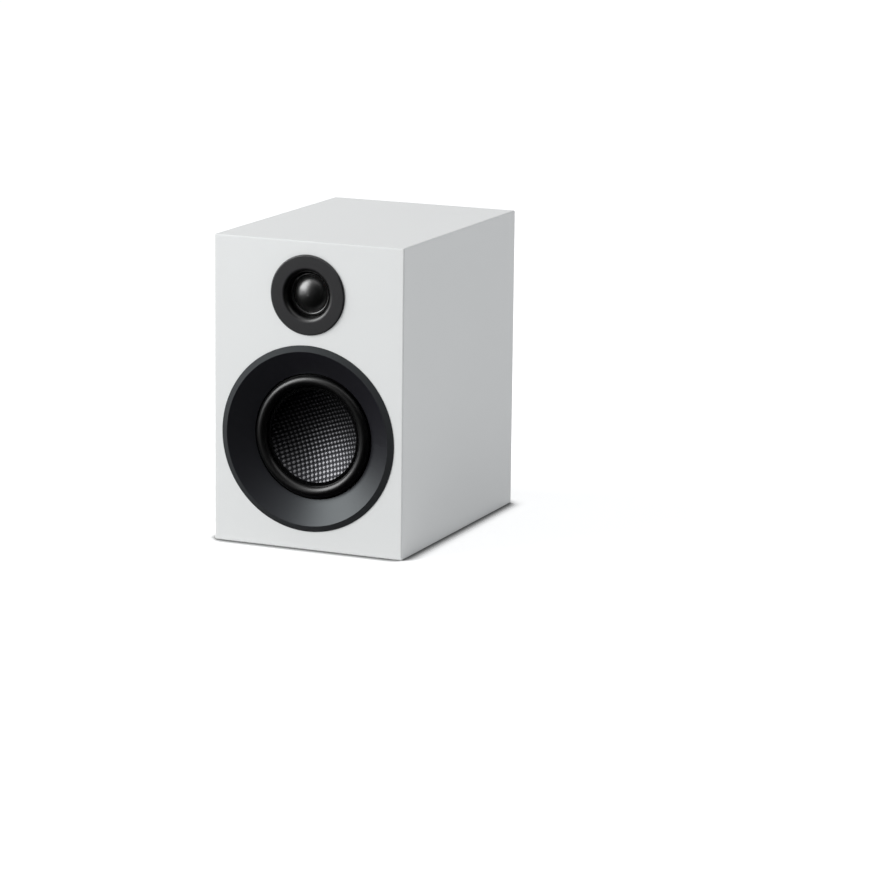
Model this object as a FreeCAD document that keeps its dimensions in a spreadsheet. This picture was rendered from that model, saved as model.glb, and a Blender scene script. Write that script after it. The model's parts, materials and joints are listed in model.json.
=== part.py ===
"""Two-way bookshelf loudspeaker with a lift-off cloth grille.

Millimetres, +Z up, +X to the right, the drivers face -Y. The origin is the middle of
the cabinet's underside, on the surface it stands on.
"""
import FreeCAD, Part
import math
import os
import re
import Sketcher

doc = FreeCAD.newDocument("bookshelf_speaker")
sheet = doc.addObject("Spreadsheet::Sheet", "dims")

DIMENSIONS = {
    # cabinet
    "cabinet_width": 150,
    "cabinet_height": 226,
    "cabinet_depth": 204,
    "side_wall": 12,
    "baffle_wall": 20,
    "rear_wall": 12,
    "edge_radius": 1.2,
    "brace_wall": 12,
    "brace_start": 80,
    "brace_margin": 18,
    "pad_wall": 8,
    "pad_gap": 6,
    "pad_lift": 40,
    "pad_headroom": 10,
    "soft_gap": 0.3,
    "slip": 0.05,
    # woofer
    "woofer_height": 82,
    "trim_radius": 68.3,
    "trim_bevel": 4.4,
    "trim_proud": 2.0,
    "trim_edge": 0.4,
    "trim_wall": 1.8,
    "trim_seat": 3.8,
    "mouth_radius": 46.4,
    "mouth_depth": 9.0,
    "mouth_lip": 0.6,
    "woofer_ledge": 13,
    "woofer_hole": 53,
    "woofer_gasket_wall": 1.0,
    "woofer_flange_radius": 60,
    "woofer_flange_wall": 1.6,
    "woofer_screw_circle": 56.5,
    "surround_outer": 45.9,
    "surround_inner": 36.6,
    "surround_crest": 4.5,
    "surround_foot": 2.6,
    "surround_wall": 0.5,
    "surround_lap": 0.4,
    "rim_gap": 0.2,
    "glue_line": 0.1,
    "cone_dish": 13,
    "cone_wall": 0.8,
    "coil_radius": 12.6,
    "former_wall": 0.3,
    "winding_wall": 0.7,
    "winding_length": 9,
    "woofer_travel": 3,
    "gap_clearance": 0.5,
    "spider_depth": 29.4,
    "spider_outer": 38,
    "spider_wall": 0.6,
    "spider_ripple": 1.4,
    "spider_collar": 1,
    "spider_land": 3.5,
    "spider_rest": 4,
    "basket_depth": 42.5,
    "basket_wall": 2,
    "basket_foot": 38,
    "basket_taper": 1.5,
    "basket_land": 2,
    "shelf_wall": 1.6,
    "shelf_reach": 3,
    "basket_window": 24,
    "basket_window_start": 2,
    "basket_window_end": 1,
    "top_plate_radius": 40,
    "top_plate_wall": 5,
    "magnet_radius": 42,
    "magnet_hole": 22,
    "magnet_wall": 13,
    "back_plate_wall": 5,
    "pole_vent": 3,
    "strip_width": 14,
    "strip_depth": 3,
    "strip_height": 4.5,
    "strip_start": 1,
    "strip_sink": 0.6,
    # tweeter
    "tweeter_height": 187,
    "ring_radius": 29.2,
    "ring_chamfer": 0.8,
    "ring_proud": 1.5,
    "ring_mouth": 16.8,
    "ring_mouth_round": 3.2,
    "ring_throat_wall": 1.8,
    "ring_throat_depth": 4.9,
    "ring_gusset": 1.4,
    "ring_gusset_drop": 0.6,
    "tweeter_rebate_radius": 28.3,
    "tweeter_rebate": 5.2,
    "tweeter_hole": 23,
    "tweeter_play": 0.5,
    "tweeter_gasket_wall": 1.0,
    "tweeter_flange_wall": 2.0,
    "tweeter_screw_circle": 25.4,
    "dome_radius": 12.7,
    "dome_crown": 5.2,
    "dome_wall": 0.4,
    "dome_depth": 5.2,
    "dome_roll_inner": 13.1,
    "dome_roll_outer": 15.9,
    "dome_roll_crest": 1.2,
    "dome_foot": 2.4,
    "dome_roll_wall": 0.3,
    "tweeter_travel": 0.3,
    "dome_coil_length": 4.3,
    "dome_coil_wall": 0.5,
    "pot_radius": 20.2,
    "pot_wall": 3.2,
    "pot_depth": 28,
    "tweeter_plate_wall": 2.5,
    "slug_radius": 11,
    "slug_wall": 10,
    "tab_wall": 0.8,
    "tab_length": 6,
    "tab_width": 4,
    "tab_spacing": 10,
    # port and terminals, on the rear
    "port_height": 172,
    "port_radius": 17.5,
    "port_wall": 2,
    "port_length": 100,
    "port_flange_radius": 30,
    "port_flange_wall": 3,
    "port_flange_bevel": 1,
    "port_flare": 6,
    "terminal_height": 52,
    "plate_width": 92,
    "plate_height": 60,
    "plate_wall": 3,
    "plate_corner": 6,
    "plate_gasket_wall": 1,
    "opening_width": 62,
    "opening_height": 34,
    "plate_screw_x": 39,
    "plate_screw_z": 23,
    "post_spacing": 19,
    "post_radius": 3,
    "post_socket": 2,
    "post_socket_depth": 16,
    "post_reach": 21,
    "post_tail": 22,
    "collar_radius": 7,
    "collar_wall": 2.5,
    "post_nut_wall": 3,
    "post_nut_radius": 5.5,
    "lug_wall": 1,
    "lug_width": 4,
    "lug_length": 12,
    "lug_drop": 15,
    "washer_radius": 6.2,
    "washer_wall": 1,
    "cap_radius": 7.6,
    "cap_lift": 5,
    "cap_slip": 0.27,
    "cap_bevel": 1,
    "cap_skirt": 3,
    "flute_radius": 0.8,
    "flute_outset": 0.2,
    # fasteners
    "screw_head": 3.2,
    "screw_head_wall": 1.6,
    "screw_shank": 1.5,
    "screw_length": 9,
    "small_head": 2.4,
    "small_head_wall": 1.0,
    "small_shank": 1.1,
    # grille
    "grille_margin": 1.6,
    "grille_wall": 6.6,
    "grille_side_round": 5,
    "cloth_wall": 0.6,
    "grille_gap": 0.3,
    "grille_bar": 5.0,
    "ring_clearance": 1.3,
    "grille_lean": 3.6,
    "grille_floor_gap": 0.3,
    "catch_radius": 4,
    "catch_wall": 4,
    "catch_skin": 1.5,
    "catch_disc_wall": 1.2,
    "catch_x": 62,
    "catch_inset": 14,
    # crossover
    "board_width": 100,
    "board_length": 80,
    "board_wall": 1.6,
    "board_start": 100,
    "standoff": 8,
    "standoff_radius": 3,
    "standoff_inset": 6,
    "tip_gap": 1,
    "bass_coil_bore": 8,
    "bass_coil_radius": 18,
    "bass_coil_height": 16,
    "bass_coil_x": -26,
    "bass_coil_y": 32,
    "treble_coil_bore": 5,
    "treble_coil_radius": 12,
    "treble_coil_height": 12,
    "treble_coil_x": 28,
    "treble_coil_y": 56,
    "large_cap_radius": 7,
    "large_cap_length": 28,
    "large_cap_x": 8,
    "large_cap_y": 28,
    "small_cap_radius": 4,
    "small_cap_length": 20,
    "small_cap_x": -40,
    "small_cap_y": 62,
    "resistor_length": 22,
    "resistor_width": 8,
    "resistor_x": 8,
    "resistor_y": 4,
    # leads: where each pair leaves the board, how it is spaced, and its clearances
    "input_lead_y": 62,
    "woofer_lead_x": 40,
    "woofer_lead_y": 15,
    "woofer_lead_over": 16,
    "woofer_tab_half": 4,
    "woofer_tab_y": 2.5,
    "woofer_tab_top": 3.9,
    "tweeter_lead_x": -32,
    "tweeter_lead_y": 4,
    "tweeter_lead_sweep": 24,
    "lead_half": 3,
    "lead_radius": 0.8,
    "lead_bend": 5,
}

for row, (name, number) in enumerate(DIMENSIONS.items(), 1):
    sheet.set("A%d" % row, name)
    sheet.set("B%d" % row, str(number))
    sheet.setAlias("B%d" % row, name)
doc.recompute()

X_AXIS = FreeCAD.Vector(1, 0, 0)
Y_AXIS = FreeCAD.Vector(0, 1, 0)
Z_AXIS = FreeCAD.Vector(0, 0, 1)
UPRIGHT = FreeCAD.Rotation()
REARWARD = FreeCAD.Rotation(X_AXIS, -90)    # local +Z becomes +Y, which is rearward
SIDEWAYS = FreeCAD.Rotation(Y_AXIS, 90)     # local +Z becomes +X
nodes = []


def size(text):
    """An expression with every dimension's name led by the sheet's name."""
    return re.sub(r"[a-z_]+", lambda word: "dims." + word.group() if word.group() in DIMENSIONS
                  else word.group(), str(text))


def value(text):
    return float(sheet.evalExpression(size(text)))


def bind(item, **expressions):
    for name, text in expressions.items():
        item.setExpression(name, size(text))


def place(item, at=("0", "0", "0"), turn=UPRIGHT):
    """Turn an object and bind its place, given as three expressions."""
    item.Placement = FreeCAD.Placement(FreeCAD.Vector(*[value(text) for text in at]), turn)
    for axis, text in zip("xyz", at):
        item.setExpression("Placement.Base." + axis, size(text))
    return item


def box(name, sides, corner, turn=UPRIGHT):
    item = doc.addObject("Part::Box", name)
    bind(item, Length=sides[0], Width=sides[1], Height=sides[2])
    return place(item, corner, turn)


def rod(name, radius, length, start, turn=REARWARD):
    item = doc.addObject("Part::Cylinder", name)
    bind(item, Radius=radius, Height=length)
    return place(item, start, turn)


def cut(name, base, *tools):
    item = doc.addObject("Part::Cut", name)
    item.Base = base
    item.Tool = tools[0] if len(tools) == 1 else fuse(name + "_cutters", *tools)
    return item


def fuse(name, *pieces):
    item = doc.addObject("Part::MultiFuse", name)
    item.Shapes = list(pieces)
    return item


def common(name, base, tool):
    item = doc.addObject("Part::Common", name)
    item.Base = base
    item.Tool = tool
    return item


def group(name, *pieces):
    """Equal loose pieces that share one node."""
    item = doc.addObject("Part::Compound", name)
    item.Links = list(pieces)
    return item


def node(item, name):
    item.Label = name
    nodes.append(item)
    return item


def origin_plane(body, role):
    return next(plane for plane in body.Origin.OriginFeatures if plane.Role == role)


def short_arc(start, end, radius, side):
    """The shorter arc between two points; side 1 bulges to the left of the way from start
    to end, -1 to the right. Also says whether the arc, which runs anticlockwise, begins
    at start."""
    half = end.sub(start).multiply(0.5)
    inward = FreeCAD.Vector(half.y, -half.x, 0).normalize().multiply(side)
    centre = start + half + inward * math.sqrt(radius ** 2 - half.Length ** 2)
    forward = side == -1
    ends = (start, end) if forward else (end, start)
    first, last = [math.atan2(point.y - centre.y, point.x - centre.x) for point in ends]
    return Part.ArcOfCircle(Part.Circle(centre, Z_AXIS, radius), first, last), forward


def outline(body, role, points, arcs=None):
    """A closed sketch. points holds (x, y) expressions; arcs maps the index of the point
    where an arc starts to its (radius expression, side)."""
    arcs = arcs or {}
    sketch = body.newObject("Sketcher::SketchObject", body.Name + "_outline")
    sketch.AttachmentSupport = [(origin_plane(body, role), "")]
    sketch.MapMode = "FlatFace"
    corners = [FreeCAD.Vector(value(x), value(y), 0) for x, y in points]
    starts, ends = [], []
    for index, corner in enumerate(corners):
        following = corners[(index + 1) % len(corners)]
        if index in arcs:
            radius, side = arcs[index]
            arc, forward = short_arc(corner, following, value(radius), side)
            sketch.addGeometry(arc, False)
            starts.append(1 if forward else 2)
            ends.append(2 if forward else 1)
            number = sketch.addConstraint(Sketcher.Constraint("Radius", index, value(radius)))
            sketch.setExpression("Constraints[%d]" % number, size(radius))
        else:
            sketch.addGeometry(Part.LineSegment(corner, following), False)
            starts.append(1)
            ends.append(2)
    for index, (x, y) in enumerate(points):
        after = (index + 1) % len(points)
        sketch.addConstraint(Sketcher.Constraint("Coincident", index, ends[index], after, starts[after]))
        for kind, text, number in (("DistanceX", x, corners[index].x), ("DistanceY", y, corners[index].y)):
            made = sketch.addConstraint(Sketcher.Constraint(kind, -1, 1, index, starts[index], number))
            sketch.setExpression("Constraints[%d]" % made, size(text))
    return sketch


def turned(name, points, at, turn=REARWARD, arcs=None):
    """A solid of revolution about its local Z; points holds (radius, distance) expressions."""
    body = doc.addObject("PartDesign::Body", name)
    sketch = outline(body, "XZ_Plane", points, arcs)
    lathe = body.newObject("PartDesign::Revolution", name + "_turn")
    lathe.Profile = sketch
    lathe.ReferenceAxis = (sketch, ["V_Axis"])
    lathe.Angle = 360
    return place(body, at, turn)


def extruded(name, role, points, length, at=("0", "0", "0"), turn=UPRIGHT, middle=False, arcs=None):
    body = doc.addObject("PartDesign::Body", name)
    pad = body.newObject("PartDesign::Pad", name + "_pad")
    pad.Profile = outline(body, role, points, arcs)
    pad.Midplane = middle
    bind(pad, Length=length)
    return place(body, at, turn)


def bowl(name, inner_radius, outer_radius, centre, rim_radius, start, length, driver):
    """The part of a round shell that lies in a rod on the driver's axis; depths are
    measured behind the front face."""
    x, y, z = driver
    spheres = []
    for label, radius in (("_outer", outer_radius), ("_inner", inner_radius)):
        ball = doc.addObject("Part::Sphere", name + label)
        bind(ball, Radius=radius)
        spheres.append(place(ball, (x, behind(centre), z), REARWARD))
    return common(name, cut(name + "_shell", *spheres),
                  rod(name + "_rod", rim_radius, length, (x, behind(start), z)))


def tube(inner, outer, near, far):
    """The outline of a plain ring."""
    return [(inner, near), (outer, near), (outer, far), (inner, far)]


def around(count, radius, phase=0.0):
    """Places evenly round a circle, as pairs of expressions."""
    for step in range(count):
        angle = math.radians(phase + 360.0 * step / count)
        yield "%s * %.9f" % (radius, math.cos(angle)), "%s * %.9f" % (radius, math.sin(angle))


def lead(points):
    """A round wire along straight runs joined by tangent arcs."""
    corners = [FreeCAD.Vector(*[value(text) for text in point]) for point in points]
    edges = []
    start = corners[0]
    for before, corner, after in zip(corners, corners[1:], corners[2:]):
        back = before.sub(corner).normalize()
        onward = after.sub(corner).normalize()
        half = back.getAngle(onward) / 2
        reach = value("lead_bend") / math.tan(half)
        entry = corner + back * reach
        leave = corner + onward * reach
        centre = corner + (back + onward).normalize() * (value("lead_bend") / math.sin(half))
        crest = centre + (corner - centre).normalize() * value("lead_bend")
        edges.append(Part.LineSegment(start, entry).toShape())
        edges.append(Part.Arc(entry, crest, leave).toShape())
        start = leave
    edges.append(Part.LineSegment(start, corners[-1]).toShape())
    path = Part.Wire(edges)
    first = corners[1].sub(corners[0])
    section = Part.Wire(Part.makeCircle(value("lead_radius"), corners[0], first))
    return path.makePipeShell([section], True, False)


FRONT = "-cabinet_depth / 2"
REAR = "cabinet_depth / 2"
WOOFER = ("0", FRONT, "woofer_height")
TWEETER = ("0", FRONT, "tweeter_height")
PORT = ("0", REAR, "port_height")
TERMINAL = ("0", REAR, "terminal_height")


def behind(depth):
    """The Y of a place so far behind the front face."""
    return FRONT + " + (%s)" % depth


# ---------------------------------------------------------------- cabinet

def make_block():
    """The outer shape of the cabinet, every edge slightly rounded."""
    body = doc.addObject("PartDesign::Body", "cabinet_block")
    pad = body.newObject("PartDesign::Pad", "block_pad")
    pad.Profile = outline(body, "XY_Plane", [("-cabinet_width / 2", FRONT), ("cabinet_width / 2", FRONT),
                                             ("cabinet_width / 2", REAR), ("-cabinet_width / 2", REAR)])
    bind(pad, Length="cabinet_height")
    doc.recompute()
    rounded = body.newObject("PartDesign::Fillet", "block_edges")
    rounded.Base = (pad, ["Edge%d" % number for number in range(1, 13)])
    bind(rounded, Radius="edge_radius")
    return body


def make_walls(block):
    """Two sides, top and bottom, mitred where they meet, between the baffle and the rear."""
    half, top, wall = "cabinet_width / 2", "cabinet_height", "side_wall"
    left_out, left_in = "-" + half, "-%s + %s" % (half, wall)
    right_out, right_in = half, "%s - %s" % (half, wall)
    roof = "%s - %s" % (top, wall)
    mitres = {
        "left_side_panel": [(left_out, "0"), (left_in, wall), (left_in, roof), (left_out, top)],
        "right_side_panel": [(right_out, "0"), (right_out, top), (right_in, roof), (right_in, wall)],
        "top_panel": [(left_out, top), (left_in, roof), (right_in, roof), (right_out, top)],
        "bottom_panel": [(left_out, "0"), (right_out, "0"), (right_in, wall), (left_in, wall)],
    }
    for name, corners in mitres.items():
        wedge = extruded(name + "_wedge", "XZ_Plane", corners, "cabinet_depth - baffle_wall - rear_wall",
                         ("0", "(baffle_wall - rear_wall) / 2", "0"), middle=True)
        node(common(name + "_cut", block, wedge), name)


def catch_places():
    """The four corners where magnets hold the grille."""
    for x in ("-catch_x", "catch_x"):
        for z in ("catch_inset", "cabinet_height - catch_inset"):
            yield x, z


def woofer_screw_places():
    return around(6, "woofer_screw_circle", 30)


def tweeter_screw_places():
    return around(3, "tweeter_screw_circle", 90)


def make_baffle(block):
    """The front panel: stepped holes for both drivers and blind holes for the magnets."""
    slab = box("baffle_slab", ("cabinet_width", "baffle_wall", "cabinet_height"),
               ("-cabinet_width / 2", FRONT, "0"))
    cutters = [
        rod("woofer_rebate", "trim_radius - trim_seat", "woofer_ledge", WOOFER),
        rod("woofer_through", "woofer_hole", "baffle_wall", WOOFER),
        rod("tweeter_rebate_cut", "tweeter_rebate_radius", "tweeter_rebate", TWEETER),
        rod("tweeter_through", "tweeter_hole", "baffle_wall", TWEETER),
    ]
    for count, (x, z) in enumerate(catch_places()):
        cutters.append(rod("catch_hole_%d" % count, "catch_radius + slip", "baffle_wall - catch_skin",
                           (x, behind("catch_skin"), z)))
    for count, (x, z) in enumerate(woofer_screw_places()):
        cutters.append(rod("woofer_screw_hole_%d" % count, "screw_shank + slip",
                           "baffle_wall - woofer_ledge",
                           (x, behind("woofer_ledge"), "woofer_height + " + z)))
    for count, (x, z) in enumerate(tweeter_screw_places()):
        cutters.append(rod("tweeter_screw_hole_%d" % count, "small_shank + slip",
                           "baffle_wall - tweeter_rebate",
                           (x, behind("tweeter_rebate"), "tweeter_height + " + z)))
    node(cut("front_baffle_cut", common("baffle_blank", block, slab), *cutters), "front_baffle")
    magnets = [rod("catch_magnet_%d" % count, "catch_radius", "catch_wall", (x, behind("catch_skin"), z))
               for count, (x, z) in enumerate(catch_places())]
    node(group("catch_magnets", *magnets), "baffle_magnets")


def plate_screw_places():
    for x in ("-plate_screw_x", "plate_screw_x"):
        for z in ("terminal_height - plate_screw_z", "terminal_height + plate_screw_z"):
            yield x, z


def make_rear(block):
    """The rear panel with the port's hole, the terminals' opening and its screw holes."""
    slab = box("rear_slab", ("cabinet_width", "rear_wall", "cabinet_height"),
               ("-cabinet_width / 2", REAR + " - rear_wall", "0"))
    inner_face = REAR + " - rear_wall"
    cutters = [
        rod("port_hole", "port_radius + port_wall + soft_gap", "rear_wall", ("0", inner_face, "port_height")),
        box("terminal_opening", ("opening_width", "rear_wall", "opening_height"),
            ("-opening_width / 2", inner_face, "terminal_height - opening_height / 2")),
    ]
    for count, (x, z) in enumerate(plate_screw_places()):
        cutters.append(rod("plate_pilot_%d" % count, "screw_shank + slip", "rear_wall", (x, inner_face, z)))
    node(cut("rear_panel_cut", common("rear_blank", block, slab), *cutters), "rear_panel")


def make_inside():
    """A window brace across the cabinet and two damping pads on the side walls."""
    width, height = "cabinet_width - 2 * side_wall", "cabinet_height - 2 * side_wall"
    left, at = "-cabinet_width / 2 + side_wall", behind("brace_start")
    frame = box("brace_blank", (width, "brace_wall", height), (left, at, "side_wall"))
    window = box("brace_window",
                 (width + " - 2 * brace_margin", "brace_wall", height + " - 2 * brace_margin"),
                 (left + " + brace_margin", at, "side_wall + brace_margin"))
    node(cut("brace_cut", frame, window), "window_brace")
    start = "brace_start + brace_wall + pad_gap"
    length = "cabinet_depth - rear_wall - pad_gap - (%s)" % start
    tall = "cabinet_height - 2 * side_wall - pad_lift - pad_headroom"
    pads = [box("pad_%d" % count, ("pad_wall", length, tall), (x, behind(start), "side_wall + pad_lift"))
            for count, x in enumerate(("-cabinet_width / 2 + side_wall + soft_gap",
                                       "cabinet_width / 2 - side_wall - soft_gap - pad_wall"))]
    node(group("damping", *pads), "damping_pads")


# ---------------------------------------------------------------- woofer

FLANGE_FACE = "(woofer_ledge - woofer_gasket_wall - woofer_flange_wall)"
FOOT_FACE = "(%s - surround_wall)" % FLANGE_FACE
CONE_FACE = "(%s + glue_line)" % FLANGE_FACE
CONE_EDGE = "(surround_inner - surround_foot / 2)"
BOWL_RADIUS = "((%s ^ 2 + cone_dish ^ 2) / (2 * cone_dish))" % CONE_EDGE
COIL_OUTER = "(coil_radius + former_wall + winding_wall)"
PLATE_BACK = "(basket_depth + top_plate_wall)"
MAGNET_BACK = "(%s + magnet_wall)" % PLATE_BACK
WINDING_FRONT = "(basket_depth + top_plate_wall / 2 - winding_length / 2)"
WINDING_BACK = "(basket_depth + top_plate_wall / 2 + winding_length / 2)"


def make_trim_ring():
    """The wide ring round the woofer: a bevelled rim on the baffle and a dished inner face
    that runs down to the surround."""
    slope = "((mouth_depth + trim_proud) / (trim_radius - trim_bevel - mouth_radius))"
    seat = "(trim_radius - trim_seat)"
    under = "(mouth_depth + mouth_lip - %s * (%s - mouth_radius - trim_wall))" % (slope, seat)
    node(turned("trim_ring_body", [
        ("trim_radius", "0"), ("trim_radius", "-trim_edge"), ("trim_radius - trim_bevel", "-trim_proud"),
        ("mouth_radius", "mouth_depth"), ("mouth_radius", "mouth_depth + mouth_lip"),
        ("mouth_radius + trim_wall", "mouth_depth + mouth_lip"), (seat + " - slip", under),
        (seat + " - slip", "0"),
    ], WOOFER), "woofer_trim_ring")


def make_basket():
    """The pressed frame: flange, conical wall with six windows, spider shelf and foot ring."""
    floor_face = "basket_depth - basket_wall"
    wall_top = "(woofer_hole - basket_taper)"
    flange_back = "woofer_ledge - woofer_gasket_wall"
    fall = "((%s - basket_foot) / (basket_depth - woofer_ledge))" % wall_top
    inner_at = "(%s - basket_wall - %s * (%s - woofer_ledge))"
    shelf_front = "spider_depth + spider_wall"
    shelf_back = shelf_front + " + shelf_wall"
    lip, land = "surround_outer - surround_lap", "magnet_hole - basket_land"
    shelf = "spider_outer - shelf_reach"
    shell = turned("basket_shell", [
        (lip, FLANGE_FACE), ("woofer_flange_radius", FLANGE_FACE),
        ("woofer_flange_radius", flange_back), (wall_top, flange_back), (wall_top, "woofer_ledge"),
        ("basket_foot", "basket_depth"), (land, "basket_depth"), (land, floor_face),
        (inner_at % (wall_top, fall, "(%s)" % floor_face), floor_face),
        (inner_at % (wall_top, fall, "(%s)" % shelf_back), shelf_back),
        (shelf, shelf_back), (shelf, shelf_front),
        (inner_at % (wall_top, fall, "(%s)" % shelf_front), shelf_front),
        (wall_top + " - basket_wall", "woofer_ledge"), (lip, flange_back),
    ], WOOFER)
    deep = "spider_depth - woofer_ledge - basket_window_start - basket_window_end"
    windows = []
    for count in range(3):
        spoke = FreeCAD.Rotation(Y_AXIS, 60 * count)
        window = box("basket_window_%d" % count, ("woofer_flange_radius * 2", deep, "basket_window"),
                     ("0", "0", "0"))
        middle = FreeCAD.Vector(value("-woofer_flange_radius"), 0, value("-basket_window / 2"))
        front = value(behind("woofer_ledge + basket_window_start"))
        window.Placement = FreeCAD.Placement(
            FreeCAD.Vector(0, front, value("woofer_height")) + spoke.multVec(middle), spoke)
        windows.append(window)
    holes = [rod("flange_hole_%d" % count, "screw_shank + slip", "woofer_flange_wall",
                 (x, behind(FLANGE_FACE), "woofer_height + " + z))
             for count, (x, z) in enumerate(woofer_screw_places())]
    node(cut("basket_cut", shell, *windows, *holes), "woofer_basket")
    holes = [rod("gasket_hole_%d" % count, "screw_shank + slip", "woofer_gasket_wall",
                 (x, behind(flange_back), "woofer_height + " + z))
             for count, (x, z) in enumerate(woofer_screw_places())]
    ring = turned("woofer_gasket_ring",
                  tube("woofer_hole", "woofer_flange_radius", flange_back, "woofer_ledge"), WOOFER)
    node(cut("woofer_gasket_cut", ring, *holes), "woofer_gasket")


def screw(name, head, head_wall, shank, length, x, y, z, turn=REARWARD):
    """A pan-head screw, y being where the underside of its head sits; it points rearward."""
    along = 1 if turn == REARWARD else -1
    start = y + " - %s" % head_wall if along == 1 else y + " + %s" % head_wall
    return fuse(name, rod(name + "_head", head, head_wall, (x, start, z), turn),
                rod(name + "_shank", shank, length, (x, y, z), turn))


def make_woofer_screws():
    screws = [screw("woofer_screw_%d" % count, "screw_head", "screw_head_wall", "screw_shank", "screw_length",
                    x, behind(FLANGE_FACE), "woofer_height + " + z)
              for count, (x, z) in enumerate(woofer_screw_places())]
    node(group("woofer_screw_set", *screws), "woofer_screws")


def make_surround():
    """A half-roll of rubber between the flange and the cone's edge."""
    chord = "((surround_outer - surround_inner) / 2)"
    radius = "((%s ^ 2 + surround_crest ^ 2) / (2 * surround_crest))" % chord
    under_chord = "(%s - surround_wall)" % chord
    under_crest = "(surround_crest - surround_wall)"
    under_radius = "((%s ^ 2 + %s ^ 2) / (2 * %s))" % (under_chord, under_crest, under_crest)
    back = FLANGE_FACE
    node(turned("surround_body", [
        ("surround_inner - surround_foot", FOOT_FACE), ("surround_inner", FOOT_FACE),
        ("surround_outer", FOOT_FACE), ("surround_outer + surround_foot", FOOT_FACE),
        ("surround_outer + surround_foot", back), ("surround_outer - surround_wall", back),
        ("surround_inner + surround_wall", back), ("surround_inner - surround_foot", back),
    ], WOOFER, arcs={1: (radius, -1), 5: (under_radius, 1)}), "woofer_surround")


def make_cone():
    """A one-piece woven dish, concave to the front, with a flat rim under the surround's
    foot, and the voice coil on its former."""
    back_radius = "(%s + cone_wall)" % BOWL_RADIUS
    centre = "(%s + cone_dish - %s)" % (CONE_FACE, BOWL_RADIUS)
    rim = "surround_inner - rim_gap"
    dish = bowl("cone_dish", BOWL_RADIUS, back_radius, centre, rim, CONE_FACE, "cone_dish + 2 * cone_wall",
                WOOFER)
    edge = turned("cone_rim", tube(CONE_EDGE, rim, CONE_FACE, CONE_FACE + " + cone_wall"), WOOFER)
    node(fuse("cone_body", dish, edge), "woofer_cone")
    former_outer = "(coil_radius + former_wall)"
    seat = "(%s + sqrt((%s) ^ 2 - (%s) ^ 2) + slip)" % (centre, back_radius, "coil_radius")
    node(turned("coil_body", [
        ("coil_radius", seat), (former_outer, seat), (former_outer, WINDING_FRONT),
        (COIL_OUTER, WINDING_FRONT), (COIL_OUTER, WINDING_BACK), ("coil_radius", WINDING_BACK),
    ], WOOFER), "woofer_voice_coil")


def make_spider():
    """The rippled centring disc between the former and the basket's shelf."""
    inner = "coil_radius + former_wall + slip"
    front, back = [], []
    ripples = 4
    for step in range(2 * ripples + 1):
        share = step / (2 * ripples)
        start = "(%s + spider_collar)" % inner
        radius = "%s + (spider_outer - spider_rest - %s) * %.4f" % (start, start, share)
        rise = "spider_ripple / 2 * %d" % (1 if step % 2 else -1)
        front.append((radius, "spider_depth + " + rise))
        back.append((radius, "spider_depth + spider_wall + " + rise))
    land = "spider_outer - spider_land"
    for side, depth in ((front, "spider_depth"), (back, "spider_depth + spider_wall")):
        side.insert(0, (inner, depth))
        side += [(land, depth), ("spider_outer", depth)]
    node(turned("spider_body", front + back[::-1], WOOFER), "woofer_spider")


def make_motor():
    """Front plate, ferrite ring and back plate with its vented pole."""
    gap = COIL_OUTER + " + gap_clearance"
    node(turned("top_plate_body", tube(gap, "top_plate_radius", "basket_depth", PLATE_BACK), WOOFER),
         "woofer_top_plate")
    node(turned("magnet_body", tube("magnet_hole", "magnet_radius", PLATE_BACK, MAGNET_BACK), WOOFER),
         "woofer_magnet")
    pole, motor_back = "(coil_radius - gap_clearance)", MAGNET_BACK + " + back_plate_wall"
    node(turned("pole_body", [
        ("pole_vent", "basket_depth"), (pole, "basket_depth"), (pole, MAGNET_BACK),
        ("top_plate_radius", MAGNET_BACK), ("top_plate_radius", motor_back), ("pole_vent", motor_back),
    ], WOOFER), "woofer_pole_plate")
    strip = box("tab_strip", ("strip_width", "strip_depth", "strip_height"),
                ("-strip_width / 2", behind("basket_depth + strip_start"),
                 "woofer_height + top_plate_radius - strip_sink"))
    rim = rod("tab_rim", "top_plate_radius", "top_plate_wall", ("0", behind("basket_depth"), "woofer_height"))
    node(cut("tab_strip_cut", strip, rim), "woofer_tab_strip")


# ---------------------------------------------------------------- tweeter

TWEETER_SEAT = "(tweeter_rebate - tweeter_gasket_wall)"
TWEETER_FACE = "(tweeter_rebate - tweeter_gasket_wall - tweeter_flange_wall)"
ROLL_FACE = "(dome_depth + dome_roll_wall)"
TWEETER_PLATE_BACK = "(%s + tweeter_plate_wall)" % ROLL_FACE


def make_tweeter_ring():
    """The flat ring round the dome, its mouth rounded into a short throat."""
    flat_edge = "ring_mouth + ring_mouth_round"
    round_end = "-ring_proud + ring_mouth_round"
    throat_back = "ring_mouth + ring_throat_wall"
    node(turned("tweeter_ring_body", [
        ("ring_radius", "0"), ("ring_radius", "-ring_proud + ring_chamfer"),
        ("ring_radius - ring_chamfer", "-ring_proud"), (flat_edge, "-ring_proud"),
        ("ring_mouth", round_end), ("ring_mouth", "ring_throat_depth"),
        (throat_back, "ring_throat_depth"), (throat_back, "ring_gusset_drop"),
        (flat_edge + " + ring_gusset", "0"),
    ], TWEETER, arcs={3: ("ring_mouth_round", 1)}), "tweeter_trim_ring")


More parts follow.
